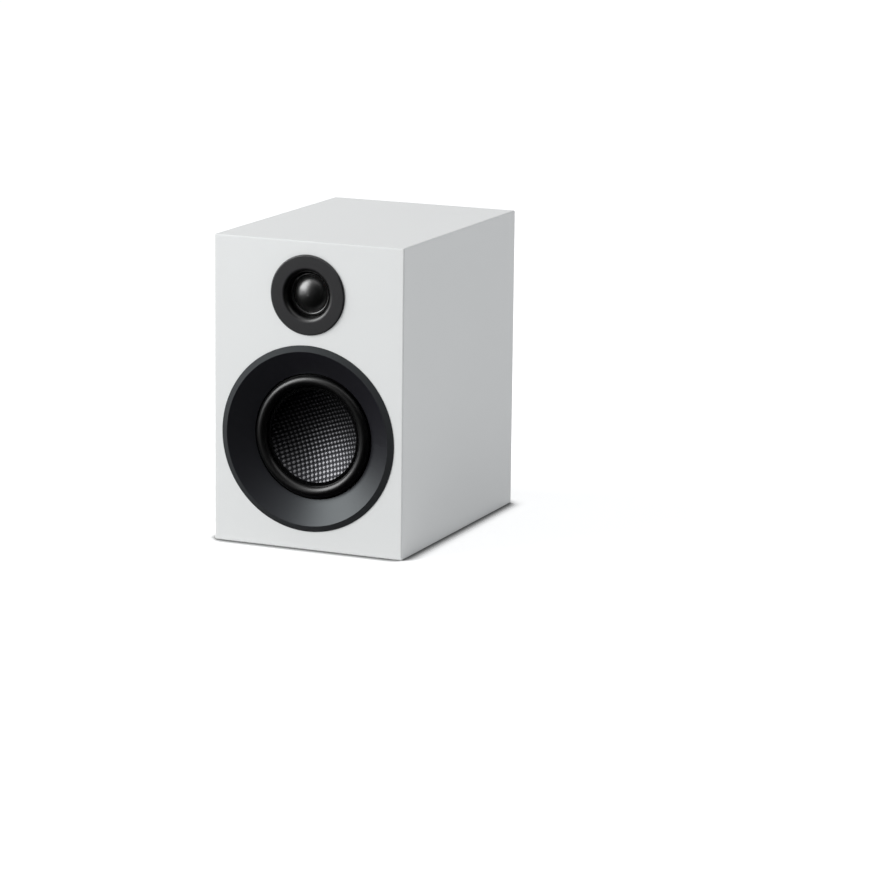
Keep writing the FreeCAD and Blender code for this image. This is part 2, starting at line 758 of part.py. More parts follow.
def make_tweeter_frame():
    """The screwed-in frame with its collar round the motor, and the gasket under it."""
    throat = "ring_mouth + ring_throat_wall + soft_gap"
    collar, sleeve = "pot_radius + slip", "tweeter_hole - tweeter_play"
    shell = turned("tweeter_frame_shell", [
        (throat, TWEETER_FACE), ("tweeter_rebate_radius - soft_gap", TWEETER_FACE),
        ("tweeter_rebate_radius - soft_gap", TWEETER_SEAT), (sleeve, TWEETER_SEAT),
        (sleeve, "pot_depth / 2"), (collar, "pot_depth / 2"), (collar, TWEETER_SEAT),
        (throat, TWEETER_SEAT),
    ], TWEETER)
    spots = list(tweeter_screw_places())
    holes = [rod("tweeter_flange_hole_%d" % count, "small_shank + slip", "tweeter_flange_wall",
                 (x, behind(TWEETER_FACE), "tweeter_height + " + z))
             for count, (x, z) in enumerate(spots)]
    node(cut("tweeter_frame_cut", shell, *holes), "tweeter_frame")
    ring = turned("tweeter_gasket_ring",
                  tube("tweeter_hole", "tweeter_rebate_radius - soft_gap", TWEETER_SEAT, "tweeter_rebate"),
                  TWEETER)
    holes = [rod("tweeter_gasket_hole_%d" % count, "small_shank + slip", "tweeter_gasket_wall",
                 (x, behind(TWEETER_SEAT), "tweeter_height + " + z))
             for count, (x, z) in enumerate(spots)]
    node(cut("tweeter_gasket_cut", ring, *holes), "tweeter_gasket")
    screws = [screw("tweeter_screw_%d" % count, "small_head", "small_head_wall", "small_shank",
                    "screw_length", x, behind(TWEETER_FACE), "tweeter_height + " + z)
              for count, (x, z) in enumerate(spots)]
    node(group("tweeter_screw_set", *screws), "tweeter_screws")


def make_dome():
    """The silk dome with its coil, and the small roll that carries it."""
    radius = "((dome_radius ^ 2 + dome_crown ^ 2) / (2 * dome_crown))"
    crown = "(dome_depth - dome_crown)"
    node(bowl("dome_body", "(%s - dome_wall)" % radius, radius, "(%s + %s)" % (crown, radius), "dome_radius",
              crown, "dome_crown", TWEETER), "tweeter_dome")
    node(turned("dome_coil_body", tube("dome_radius - dome_coil_wall", "dome_radius", "dome_depth",
                                       "dome_depth + dome_coil_length"), TWEETER), "tweeter_voice_coil")
    chord = "((dome_roll_outer - dome_roll_inner) / 2)"
    roll = "((%s ^ 2 + dome_roll_crest ^ 2) / (2 * dome_roll_crest))" % chord
    under_chord = "(%s - dome_roll_wall)" % chord
    under_crest = "(dome_roll_crest - dome_roll_wall)"
    under_roll = "((%s ^ 2 + %s ^ 2) / (2 * %s))" % (under_chord, under_crest, under_crest)
    node(turned("dome_roll_body", [
        ("dome_radius + slip", "dome_depth"), ("dome_roll_inner", "dome_depth"),
        ("dome_roll_outer", "dome_depth"), ("dome_roll_outer + dome_foot", "dome_depth"),
        ("dome_roll_outer + dome_foot", ROLL_FACE),
        ("dome_roll_outer - dome_roll_wall", ROLL_FACE), ("dome_roll_inner + dome_roll_wall", ROLL_FACE),
        ("dome_radius + slip", ROLL_FACE),
    ], TWEETER, arcs={1: (roll, -1), 5: (under_roll, 1)}), "tweeter_surround")


def make_tweeter_motor():
    """Front plate, steel pot, magnet slug with its pole disc, and two solder tabs."""
    gap = "dome_radius + gap_clearance"
    pole = "dome_radius - dome_coil_wall - gap_clearance"
    floor_face = "pot_depth - pot_wall"
    slug_front = "(%s - slug_wall)" % floor_face
    node(turned("tweeter_plate_body", tube(gap, "pot_radius", ROLL_FACE, TWEETER_PLATE_BACK), TWEETER),
         "tweeter_top_plate")
    node(turned("pot_body", [
        ("pot_radius - pot_wall", TWEETER_PLATE_BACK), ("pot_radius", TWEETER_PLATE_BACK),
        ("pot_radius", "pot_depth"), ("0", "pot_depth"), ("0", floor_face),
        ("pot_radius - pot_wall", floor_face),
    ], TWEETER), "tweeter_pot")
    node(rod("slug_body", "slug_radius", "slug_wall", ("0", behind(slug_front), "tweeter_height")),
         "tweeter_magnet")
    node(rod("pole_disc_body", pole, slug_front + " - " + ROLL_FACE,
             ("0", behind(ROLL_FACE), "tweeter_height")), "tweeter_pole_disc")
    tabs = [box("tweeter_tab_%d" % count, ("tab_wall", "tab_length", "tab_width"),
                (sign + "tab_spacing / 2 - tab_wall / 2", behind("pot_depth"),
                 "tweeter_height - tab_width / 2"))
            for count, sign in enumerate(("-", ""))]
    node(group("tweeter_tab_set", *tabs), "tweeter_tabs")


# ---------------------------------------------------------------- port and terminals

def make_port():
    """The flared tube, its rounded flange flat on the rear panel."""
    bore, skin = "port_radius", "port_radius + port_wall"
    node(turned("port_body", [
        (bore, "-port_length"), (skin, "-port_length"), (skin, "0"), ("port_flange_radius", "0"),
        ("port_flange_radius", "port_flange_wall - port_flange_bevel"),
        ("port_flange_radius - port_flange_bevel", "port_flange_wall"),
        (bore + " + port_flare", "port_flange_wall"), (bore, "port_flange_wall - port_flare"),
    ], PORT, arcs={6: ("port_flare", -1)}), "port_tube")


def rounded_plate(name, wall, near):
    """A rectangle with round corners, standing on the rear face."""
    half_width, half_height, corner = "plate_width / 2", "plate_height / 2", "plate_corner"
    points = []
    for sign_x, sign_y, order in ((1, 1, 0), (-1, 1, 1), (-1, -1, 0), (1, -1, 1)):
        ends = [("%d * (%s)" % (sign_x, half_width), "%d * (%s - %s)" % (sign_y, half_height, corner)),
                ("%d * (%s - %s)" % (sign_x, half_width, corner), "%d * (%s)" % (sign_y, half_height))]
        points += ends[::-1] if order else ends
    return extruded(name, "XY_Plane", points, wall, ("0", REAR + " + " + near, "terminal_height"), REARWARD,
                    arcs={index: ("plate_corner", -1) for index in (0, 2, 4, 6)})


def make_terminal_plate():
    """The moulded plate, its gasket and its four screws."""
    screw_holes = [rod("plate_hole_%d" % count, "screw_shank + slip",
                       "plate_wall + plate_gasket_wall", (x, REAR, z))
                   for count, (x, z) in enumerate(plate_screw_places())]
    post_holes = [rod("post_hole_%s" % side, "post_radius + slip", "plate_wall",
                      (sign + "post_spacing / 2", REAR + " + plate_gasket_wall", "terminal_height"))
                  for side, sign in (("left", "-"), ("right", ""))]
    plate = rounded_plate("plate_blank", "plate_wall", "plate_gasket_wall")
    node(cut("terminal_plate_cut", plate, *screw_holes, *post_holes), "terminal_plate")
    window = box("plate_gasket_window", ("opening_width", "plate_gasket_wall", "opening_height"),
                 ("-opening_width / 2", REAR, "terminal_height - opening_height / 2"))
    gasket = rounded_plate("plate_gasket_blank", "plate_gasket_wall", "0")
    node(cut("plate_gasket_cut", gasket, window, *screw_holes), "terminal_gasket")
    forward = FreeCAD.Rotation(X_AXIS, 90)
    screws = [screw("plate_screw_%d" % count, "screw_head", "screw_head_wall", "screw_shank",
                    "screw_length", x, REAR + " + plate_gasket_wall + plate_wall", z, forward)
              for count, (x, z) in enumerate(plate_screw_places())]
    node(group("plate_screw_set", *screws), "terminal_screws")


FLUTES = 16
POST_FACE = "(plate_gasket_wall + plate_wall)"
COLLAR_TOP = "(%s + collar_wall)" % POST_FACE
WASHER_FRONT = "(%s + slip)" % COLLAR_TOP
CAP_FRONT = "(%s + washer_wall)" % WASHER_FRONT


def make_posts():
    """Two binding posts: a plated post with its socket, a collar pressed on it that seats
    on the plate, a thrust washer and a fluted cap."""
    nuts, lugs = [], []
    for colour, sign in (("black", "-"), ("red", "")):
        x = sign + "post_spacing / 2"
        at = (x, REAR, "terminal_height")
        node(turned(colour + "_post_body", [
            ("0", "-post_tail"), ("post_radius", "-post_tail"),
            ("post_radius", "post_reach"), ("post_socket", "post_reach"),
            ("post_socket", "post_reach - post_socket_depth"), ("0", "post_reach - post_socket_depth"),
        ], at), colour + "_post")
        node(turned(colour + "_collar_body", tube("post_radius", "collar_radius", POST_FACE, COLLAR_TOP), at),
             colour + "_collar")
        ring = tube("post_radius + slip", "washer_radius", WASHER_FRONT, WASHER_FRONT + " + washer_wall")
        node(turned(colour + "_washer_body", ring, at), colour + "_thrust_washer")
        sleeve = turned(colour + "_cap_blank", [
            ("post_radius + cap_slip", CAP_FRONT), ("cap_radius", CAP_FRONT),
            ("cap_radius", "post_reach - cap_bevel"), ("cap_radius - cap_bevel", "post_reach"),
            ("post_radius + cap_slip", "post_reach"),
        ], at)
        flutes = [rod("%s_flute_%d" % (colour, count), "flute_radius",
                      "post_reach - %s - cap_skirt" % CAP_FRONT,
                      (x + " + " + across, REAR + " + %s + cap_skirt" % CAP_FRONT, "terminal_height + " + up))
                  for count, (across, up) in enumerate(around(FLUTES, "(cap_radius + flute_outset)"))]
        node(cut(colour + "_cap_cut", sleeve, *flutes), colour + "_cap")
        nut_at = (x, REAR + " + plate_gasket_wall - post_nut_wall", "terminal_height")
        nuts.append(cut(colour + "_nut",
                        rod(colour + "_nut_blank", "post_nut_radius", "post_nut_wall", nut_at),
                        rod(colour + "_nut_hole", "post_radius + slip", "post_nut_wall", nut_at)))
        lug_face = REAR + " + plate_gasket_wall - post_nut_wall - lug_wall"
        lug_at = (x, lug_face, "terminal_height")
        tail = box(colour + "_lug_tail", ("lug_width", "lug_wall", "lug_length"),
                   (x + " - lug_width / 2", lug_face, "terminal_height - lug_drop"))
        lugs.append(cut(colour + "_lug",
                        fuse(colour + "_lug_blank",
                             rod(colour + "_lug_ring", "post_nut_radius", "lug_wall", lug_at), tail),
                        rod(colour + "_lug_hole", "post_radius + slip", "lug_wall", lug_at)))
    node(group("post_nut_set", *nuts), "post_nuts")
    node(group("lug_set", *lugs), "input_lugs")


# ---------------------------------------------------------------- crossover and leads

BOARD_UNDER = "(side_wall + standoff)"
BOARD_TOP = "(side_wall + standoff + board_wall)"


def board_screw_places():
    for x in ("-board_width / 2 + standoff_inset", "board_width / 2 - standoff_inset"):
        for depth in ("board_start + standoff_inset", "board_start + board_length - standoff_inset"):
            yield x, depth


def make_crossover():
    """The board on four standoffs, with its coils, capacitors and resistor."""
    spots = list(board_screw_places())
    board = box("board_blank", ("board_width", "board_length", "board_wall"),
                ("-board_width / 2", behind("board_start"), BOARD_UNDER))
    holes, standoffs, screws = [], [], []
    for count, (x, depth) in enumerate(spots):
        y = behind(depth)
        holes.append(rod("board_hole_%d" % count, "small_shank + slip", "board_wall",
                         (x, y, BOARD_UNDER), UPRIGHT))
        standoffs.append(cut(
            "standoff_%d" % count,
            rod("standoff_%d_blank" % count, "standoff_radius", "standoff", (x, y, "side_wall"), UPRIGHT),
            rod("standoff_%d_bore" % count, "small_shank + slip", "standoff", (x, y, "side_wall"), UPRIGHT)))
        screws.append(fuse(
            "board_screw_%d" % count,
            rod("board_screw_%d_head" % count, "small_head", "small_head_wall", (x, y, BOARD_TOP), UPRIGHT),
            rod("board_screw_%d_shank" % count, "small_shank", "standoff + board_wall - tip_gap",
                (x, y, "side_wall + tip_gap"), UPRIGHT)))
    node(cut("board_cut", board, *holes), "crossover_board")
    node(group("standoff_set", *standoffs), "board_standoffs")
    node(group("board_screw_set", *screws), "board_screws")
    for name in ("bass", "treble"):
        winding = tube(name + "_coil_bore", name + "_coil_radius", "0", name + "_coil_height")
        at = (name + "_coil_x", behind("board_start + %s_coil_y" % name), BOARD_TOP)
        node(turned(name + "_coil_body", winding, at, UPRIGHT), name + "_inductor")
    capacitors = [rod(name + "_capacitor", name + "_cap_radius", name + "_cap_length",
                      (name + "_cap_x", behind("board_start + %s_cap_y" % name),
                       BOARD_TOP + " + %s_cap_radius" % name), SIDEWAYS) for name in ("large", "small")]
    node(group("capacitor_set", *capacitors), "capacitors")
    node(box("resistor_body", ("resistor_length", "resistor_width", "resistor_width"),
             ("resistor_x", behind("board_start + resistor_y"), BOARD_TOP)), "resistor")


def make_leads():
    """Insulated leads: posts to board, board to woofer and board to tweeter."""
    routes = {"input_leads": [], "woofer_leads": [], "tweeter_leads": []}
    for side in ("-1", "1"):
        x = side + " * post_spacing / 2"
        y = behind("board_start + input_lead_y")
        routes["input_leads"].append([
            (x, REAR + " - post_tail", "terminal_height"), (x, y, "terminal_height"), (x, y, BOARD_TOP)])
        x, y = "woofer_lead_x + %s * lead_half" % side, behind("board_start + woofer_lead_y")
        tab_x, tab_y = "%s * woofer_tab_half" % side, behind("basket_depth + woofer_tab_y")
        motor_top = "woofer_height + top_plate_radius"
        over = motor_top + " + woofer_lead_over"
        routes["woofer_leads"].append([
            (x, y, BOARD_TOP), (x, y, over), (tab_x, tab_y, over),
            (tab_x, tab_y, motor_top + " + woofer_tab_top")])
        x, y = "tweeter_lead_x + %s * lead_half" % side, behind("board_start + tweeter_lead_y")
        tab_x = "%s * tab_spacing / 2" % side
        routes["tweeter_leads"].append([
            (x, y, BOARD_TOP), (x, y, "tweeter_height"),
            (tab_x, behind("pot_depth + tweeter_lead_sweep"), "tweeter_height"),
            (tab_x, behind("pot_depth + tab_length"), "tweeter_height")])
    for name, pair in routes.items():
        item = doc.addObject("Part::Feature", name + "_tubes")
        item.Shape = Part.makeCompound([lead(route) for route in pair])
        node(item, name)


# ---------------------------------------------------------------- grille

def grille_rest():
    """Where the lifted-off grille rests: upright on its lower edge against the left side,
    cloth to the cabinet, leaning on it by grille_lean. One turn about one fixed axis
    brings it from there to the baffle, so the axis sets how far back it stands."""
    lean = math.radians(value("grille_lean"))
    tall = value("cabinet_height - 2 * grille_margin")
    thick = value("grille_wall")
    on_baffle = FreeCAD.Vector(0, value(FRONT + " - grille_gap - grille_wall / 2"),
                               value("cabinet_height / 2"))
    turn = FreeCAD.Rotation(Y_AXIS, value("grille_lean")).multiply(FreeCAD.Rotation(Z_AXIS, 90))
    across = -value("cabinet_width / 2 + grille_gap") - tall / 2 * math.sin(lean) - thick / 2 * math.cos(lean)
    up = value("grille_floor_gap") + tall / 2 * math.cos(lean) + thick / 2 * math.sin(lean)
    axis = turn.Axis
    along = on_baffle.y - (axis.x * (across - on_baffle.x) + axis.z * (up - on_baffle.z)) / axis.y
    return FreeCAD.Placement(FreeCAD.Vector(across, along, up), turn)


def make_grille():
    """A frame with two round windows, wrapped in stretched cloth, and its steel discs.
    Built round its own middle, front to -Y, then stood where it rests."""
    half_width, half_height = "(cabinet_width / 2 - grille_margin)", "(cabinet_height / 2 - grille_margin)"
    half_wall = "grille_wall / 2"
    shapes = {}
    for name, skin, round_size in (("grille_outer", "0", "grille_side_round"),
                                   ("grille_inner", "cloth_wall", "(grille_side_round - cloth_wall)")):
        side, front = half_width + " - " + skin, "-%s + %s" % (half_wall, skin)
        shapes[name] = extruded(name, "XY_Plane", [
            ("-(%s)" % side, half_wall), ("-(%s)" % side, front + " + " + round_size),
            ("-(%s) + %s" % (side, round_size), front), ("%s - %s" % (side, round_size), front),
            (side, front + " + " + round_size), (side, half_wall),
        ], "2 * (%s - %s)" % (half_height, skin), ("0", "0", "-(%s - %s)" % (half_height, skin)),
            arcs={1: (round_size, -1), 3: (round_size, -1)})
    drop_woofer = "woofer_height - cabinet_height / 2"
    drop_tweeter = "tweeter_height - cabinet_height / 2"
    windows = [
        rod(name + "_window", radius + " + ring_clearance", "grille_wall", ("0", "-" + half_wall, drop))
        for name, radius, drop in (("woofer", "trim_radius", drop_woofer),
                                   ("tweeter", "ring_radius", drop_tweeter))
    ]
    spots = [(x, "(%s) - cabinet_height / 2" % z) for x, z in catch_places()]
    pockets = [rod("disc_pocket_%d" % count, "catch_radius + slip", "catch_disc_wall",
                   (x, half_wall + " - catch_disc_wall", z)) for count, (x, z) in enumerate(spots)]
    discs = [rod("catch_disc_%d" % count, "catch_radius", "catch_disc_wall",
                 (x, half_wall + " - catch_disc_wall", z)) for count, (x, z) in enumerate(spots)]
    pieces = {
        "grille_frame": cut("grille_frame_cut", shapes["grille_inner"], *windows, *pockets),
        "grille_cloth": cut("grille_cloth_cut", shapes["grille_outer"], shapes["grille_inner"]),
        "grille_discs": group("grille_disc_set", *discs),
    }
    for name, item in pieces.items():
        item.Placement = grille_rest()
        node(item, name)


block = make_block()
make_walls(block)
make_baffle(block)
make_rear(block)
make_inside()
make_trim_ring()
make_basket()
make_woofer_screws()
make_surround()
make_cone()
make_spider()
make_motor()
make_tweeter_ring()
make_tweeter_frame()
make_dome()
make_tweeter_motor()
make_port()
make_terminal_plate()
make_posts()
make_crossover()
make_leads()
make_grille()

doc.recompute()
failed = [item.Name for item in doc.Objects if {"Invalid", "Error"} & set(item.State)]
unsound = [item.Label for item in nodes if item.Shape.isNull() or not item.Shape.isValid()]
if failed or unsound:
    raise SystemExit("failed objects %s, unsound shapes %s" % (failed, unsound))
os.makedirs("parts", exist_ok=True)
for item in nodes:
    item.Shape.exportStep("parts/%s.step" % item.Label)
print("%d nodes written" % len(nodes))
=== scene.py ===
"""A bookshelf loudspeaker: white lacquered cabinet, woven woofer dish, soft dome tweeter,
rear port, binding posts and a cloth grille that lifts off."""

import json
import math

import bpy
from mathutils import Matrix, Vector


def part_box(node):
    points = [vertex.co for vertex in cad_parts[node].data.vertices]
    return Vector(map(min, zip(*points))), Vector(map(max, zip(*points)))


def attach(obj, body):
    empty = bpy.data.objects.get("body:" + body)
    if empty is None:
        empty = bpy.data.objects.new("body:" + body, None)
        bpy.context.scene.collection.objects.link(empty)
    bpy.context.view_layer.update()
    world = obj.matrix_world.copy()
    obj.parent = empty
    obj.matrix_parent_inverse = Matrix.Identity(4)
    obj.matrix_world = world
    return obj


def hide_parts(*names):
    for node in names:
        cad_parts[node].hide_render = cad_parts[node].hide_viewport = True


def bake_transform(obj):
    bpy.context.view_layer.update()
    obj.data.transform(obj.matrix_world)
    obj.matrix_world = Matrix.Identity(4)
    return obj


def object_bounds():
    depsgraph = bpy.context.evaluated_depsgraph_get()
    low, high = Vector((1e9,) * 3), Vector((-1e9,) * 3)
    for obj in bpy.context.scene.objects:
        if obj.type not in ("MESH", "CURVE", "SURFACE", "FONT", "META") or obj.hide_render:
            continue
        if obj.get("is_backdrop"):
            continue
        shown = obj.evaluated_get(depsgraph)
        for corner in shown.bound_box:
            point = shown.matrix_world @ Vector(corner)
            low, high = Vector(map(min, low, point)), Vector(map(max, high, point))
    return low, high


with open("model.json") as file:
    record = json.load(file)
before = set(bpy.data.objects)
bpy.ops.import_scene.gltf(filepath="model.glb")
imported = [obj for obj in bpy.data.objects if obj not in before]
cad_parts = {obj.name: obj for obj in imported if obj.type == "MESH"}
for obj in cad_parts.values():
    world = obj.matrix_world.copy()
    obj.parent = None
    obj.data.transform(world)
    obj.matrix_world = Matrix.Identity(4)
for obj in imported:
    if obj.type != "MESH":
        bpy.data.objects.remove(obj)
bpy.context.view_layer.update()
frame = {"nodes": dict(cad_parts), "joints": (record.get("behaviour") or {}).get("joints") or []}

MM = 0.001
nodes = frame["nodes"]
scene = bpy.context.scene
scene.view_settings.view_transform = "Standard"


# The camera stands a little right of the cabinet's front and above it, far back on a long
# lens, and is rolled by half a degree.
azimuth, elevation, roll = math.radians(23.607), math.radians(12.1227), math.radians(0.6002)
camera_data = bpy.data.cameras.new("camera")
camera_data.lens = 150.33
camera_data.sensor_width = 36
camera_data.clip_end = 100
camera = bpy.data.objects.new("camera", camera_data)
camera.matrix_world = (
    Matrix.Translation((1.10638, -2.40466, 0.63435)) @ Matrix.Rotation(azimuth, 4, "Z")
    @ Matrix.Rotation(math.pi / 2 - elevation, 4, "X") @ Matrix.Rotation(roll, 4, "Z"))
scene.collection.objects.link(camera)
scene.camera = camera


# The finishes are built from shader nodes. A node's output is a Socket, so that sums on
# it are written as sums, and a Finish is one material with its shader.
class Socket:
    """The output of a shader node; arithmetic on it adds Math nodes."""

    def __init__(self, finish, output):
        self.finish, self.output = finish, output

    def math(self, operation, *others):
        return self.finish.node("ShaderNodeMath", {"operation": operation},
                                dict(enumerate((self, *others))))

    def __add__(self, other):
        return self.math("ADD", other)

    def __sub__(self, other):
        return self.math("SUBTRACT", other)

    def __rsub__(self, other):
        return self.finish.node("ShaderNodeMath", {"operation": "SUBTRACT"}, {0: other, 1: self})

    def __mul__(self, other):
        return self.math("MULTIPLY", other)

    def __gt__(self, other):
        return self.math("GREATER_THAN", other)

    def __abs__(self):
        return self.math("ABSOLUTE")

    def ramp(self, start, end, low=0.0, high=1.0):
        """Low until start, high after end, and smooth between."""
        return self.finish.node("ShaderNodeMapRange", {"interpolation_type": "SMOOTHSTEP"},
                                {0: self, 1: start, 2: end, 3: low, 4: high})

    __radd__, __rmul__ = __add__, __mul__


class Finish:
    """One material. Constants are set on the shader's own sockets."""

    def __init__(self, name, **constants):
        self.material = bpy.data.materials.new(name)
        self.material.use_nodes = True
        self.tree = self.material.node_tree
        self.shader = self.tree.nodes["Principled BSDF"]
        for socket, value in constants.items():
            self.shader.inputs[socket.replace("_", " ").title().replace("Ior", "IOR")].default_value = value

    def node(self, kind, settings=(), inputs=(), output=0):
        """Adds a node: settings first, then the values or links of its sockets."""
        made = self.tree.nodes.new(kind)
        for name, value in dict(settings).items():
            setattr(made, name, value)
        for name, value in dict(inputs).items():
            if isinstance(value, Socket):
                self.tree.links.new(value.output, made.inputs[name])
            else:
                made.inputs[name].default_value = value
        return Socket(self, made.outputs[output])

    def place(self, move=(0, 0, 0), turn=(0, 0, 0)):
        """The object's own coordinates, moved or turned."""
        where = self.node("ShaderNodeTexCoord", output="Object")
        return self.node("ShaderNodeMapping", {}, {"Vector": where, "Location": move, "Rotation": turn})

    def axes(self, vector):
        """The three parts of a vector."""
        parts = self.node("ShaderNodeSeparateXYZ", {}, {0: vector})
        return [Socket(self, output) for output in parts.output.node.outputs]

    def noise(self, vector, scale, detail=3.0, roughness=0.5):
        return self.node("ShaderNodeTexNoise", {"noise_dimensions": "3D"}, {
            "Vector": vector, "Scale": scale, "Detail": detail, "Roughness": roughness})

    def tint(self, share, low, high):
        """A colour between two, which are colours or sockets, by share."""
        ends = [end if isinstance(end, Socket) else (*end, 1) for end in (low, high)]
        return self.node("ShaderNodeMix", {"data_type": "RGBA"},
                         {"Factor": share, 6: ends[0], 7: ends[1]}, output=2)

    def feed(self, color=None, roughness=None, metallic=None, glow=None, bump=None, depth=0.0001, edge=None):
        """Links what varies to the shader; bump is a height of depth metres, edge a soft edge's radius."""
        for name, value in (("Base Color", color), ("Roughness", roughness), ("Metallic", metallic),
                            ("Emission Color", glow)):
            if value is not None:
                self.tree.links.new(value.output, self.shader.inputs[name])
        if bump is not None:
            shape = {"Height": bump, "Distance": depth, "Strength": 1.0}
            if edge is not None:
                shape["Normal"] = self.node("ShaderNodeBevel", {"samples": 6}, {"Radius": edge})
            self.tree.links.new(self.node("ShaderNodeBump", {}, shape).output, self.shader.inputs["Normal"])
        return self

    def on(self, *names):
        """Puts the finish on CAD nodes."""
        for name in names:
            for place in nodes[name].material_slots:
                place.material = self.material
        return self


# The floor is a pale matt sheet that runs far back. Light of its own, seen by the camera and
# in gloss and glass, makes it white. There a painted contact shadow also darkens its colour and
# its glow close to what stands on it, while the light it throws back stays even.
def clear_selection():
    if bpy.context.object and bpy.context.object.mode != "OBJECT":
        bpy.ops.object.mode_set(mode="OBJECT")
    bpy.ops.object.select_all(action="DESELECT")


def seen_directly(finish):
    """1 for what the camera sees, straight, in gloss or through glass."""
    path = finish.node("ShaderNodeLightPath").output.node
    camera_ray, glossy_ray, through_ray = (Socket(finish, path.outputs[name]) for name in (
        "Is Camera Ray", "Is Glossy Ray", "Is Transmission Ray"))
    return camera_ray.math("MAXIMUM", glossy_ray).math("MAXIMUM", through_ray)


clear_selection()
bpy.ops.mesh.primitive_plane_add(size=40)
floor = bpy.context.object
floor.name = "floor"
paper = Finish("floor_paper", roughness=0.9, specular_ior_level=0.0, emission_strength=1.0)
# Ambient occlusion paints a contact shadow into the floor's colour and its glow close to what stands on it.
painted_shadow_mask = paper.node("ShaderNodeAmbientOcclusion", {"samples": 16}, {"Distance": 14 * MM}, output=1)
painted_shadow_mask = painted_shadow_mask.ramp(0.5, 1.0)
direct = seen_directly(paper)
shade = painted_shadow_mask.math("MAXIMUM", 1 - direct)
paper.feed(color=paper.tint(shade, (0.18, 0.18, 0.18), (0.86, 0.86, 0.86)), glow=direct * painted_shadow_mask * 0.62)
floor.data.materials.append(paper.material)
floor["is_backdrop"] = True


# Studio light: one big soft lamp high on the left, a weak cool one behind on the right, and an
# even pale surround. Black cards, seen only in gloss, keep the dark drivers dark.
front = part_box("front_baffle")[0].y
lamp_target = Vector((0, 0, 0.11))


def soft_lamp(name, direction, distance, size, power, colour):
    """A square lamp that faces the object from a direction."""
    data = bpy.data.lights.new(name, "AREA")
    data.shape, data.size, data.energy, data.color = "SQUARE", size, power, colour
    lamp = bpy.data.objects.new(name, data)
    toward = Vector(direction).normalized()
    lamp.location = toward * distance + lamp_target
    lamp.rotation_euler = toward.to_track_quat("Z", "Y").to_euler()
    lamp.visible_camera = False
    scene.collection.objects.link(lamp)


soft_lamp("key_lamp", (-0.72, -0.50, 0.45), 3.0, 2.1, 77, (0.99, 1.0, 1.0))
soft_lamp("side_lamp", (0.60, 0.80, 0.35), 3.0, 2.0, 5.0, (0.84, 0.93, 1.0))


class Sky(Finish):
    """The world, whose node tree is handled as a finish's is."""

    def __init__(self, world):
        world.use_nodes = True
        self.tree = world.node_tree
        self.background = self.tree.nodes["Background"]


scene.world = bpy.data.worlds.new("studio")
sky = Sky(scene.world)
sky.background.inputs["Strength"].default_value = 1.0
glow = sky.tint(seen_directly(sky), (0.430, 0.438, 0.446), (1, 1, 1))
sky.tree.links.new(glow.output, sky.background.inputs["Color"])

upright = math.pi / 2
black = Finish("card_black", base_color=(0, 0, 0, 1), roughness=1.0, specular_ior_level=0.0)
for name, place, tilt, size in (("low_card", (0.6, front - 1.8, 0.5 * MM), (0, 0, 0), 3.6),
                                ("front_card", (1.5, -3.9, 0.6), (upright, 0, 0), 7.0),
                                ("right_card", (3.2, -1.9, 0.6), (0, upright, 0), 4.0)):
    clear_selection()
    bpy.ops.mesh.primitive_plane_add(size=size, location=place, rotation=tilt)
    card = bpy.context.object
    card.name = name
    card.data.materials.append(black.material)
    card.visible_camera = card.visible_diffuse = card.visible_transmission = False
    card.visible_shadow = False
    card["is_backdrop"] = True


# The cabinet is fibreboard, glued up at its corners, filled, sanded and sprayed in satin
# white lacquer. The lacquer has a faint orange peel; inside, the board is bare and brown.
half_width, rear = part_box("right_side_panel")[1].x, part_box("rear_panel")[1].y
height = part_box("top_panel")[1].z
skin = 0.6 * MM
dark_fibre, light_fibre = (0.40, 0.27, 0.15), (0.58, 0.43, 0.27)
lacquer = Finish("satin_lacquer", specular_ior_level=0.4)
spot = lacquer.place()
x, y, z = lacquer.axes(spot)
outer = abs(x) > half_width - skin
outer = outer.math("MAXIMUM", abs(y) > rear - skin)
outer = outer.math("MAXIMUM", abs(z - height / 2) > height / 2 - skin)
peel = lacquer.noise(spot, 420, 2.0)
fibre = lacquer.noise(spot, 900, 4.0, 0.7)
cloud = lacquer.noise(spot, 9, 2.0)
board = lacquer.tint(fibre, dark_fibre, light_fibre)
coat = lacquer.tint(cloud, (0.794, 0.799, 0.794), (0.812, 0.817, 0.812))
lacquer.feed(
    color=lacquer.tint(outer, board, coat),
    roughness=outer * (peel * 0.08 - 0.55) + 0.85,
    bump=outer * (peel * 0.05 - fibre * 0.5) + fibre * 0.5, depth=0.2 * MM)
lacquer.on("front_baffle", "rear_panel", "left_side_panel", "right_side_panel", "top_panel", "bottom_panel")


# Inside, a fibreboard brace crosses the cabinet behind the woofer, soft wadding is tacked
# to the side walls, and magnets set in the baffle's back hold the grille.
bare = Finish("bare_fibreboard", roughness=0.85, specular_ior_level=0.2)
grain = bare.noise(bare.place(), 900, 4.0, 0.7)
bare.feed(color=bare.tint(grain, dark_fibre, light_fibre), bump=grain, depth=0.2 * MM)
bare.on("window_brace")

ferrite = Finish("sintered_ferrite", roughness=0.7)
grit = ferrite.noise(ferrite.place(), 1400, 3.0)
ferrite.feed(color=ferrite.tint(grit, (0.035, 0.035, 0.037), (0.075, 0.075, 0.08)),
             bump=grit, depth=0.05 * MM)
ferrite.on("baffle_magnets", "woofer_magnet", "tweeter_magnet")

wadding = Finish("wadding", roughness=1.0, specular_ior_level=0.1)
tuft = wadding.noise(wadding.place(), 160, 6.0, 0.7)
wadding.feed(color=wadding.tint(tuft, (0.42, 0.42, 0.40), (0.78, 0.78, 0.75)), bump=tuft, depth=1.5 * MM)
wadding.on("damping_pads")


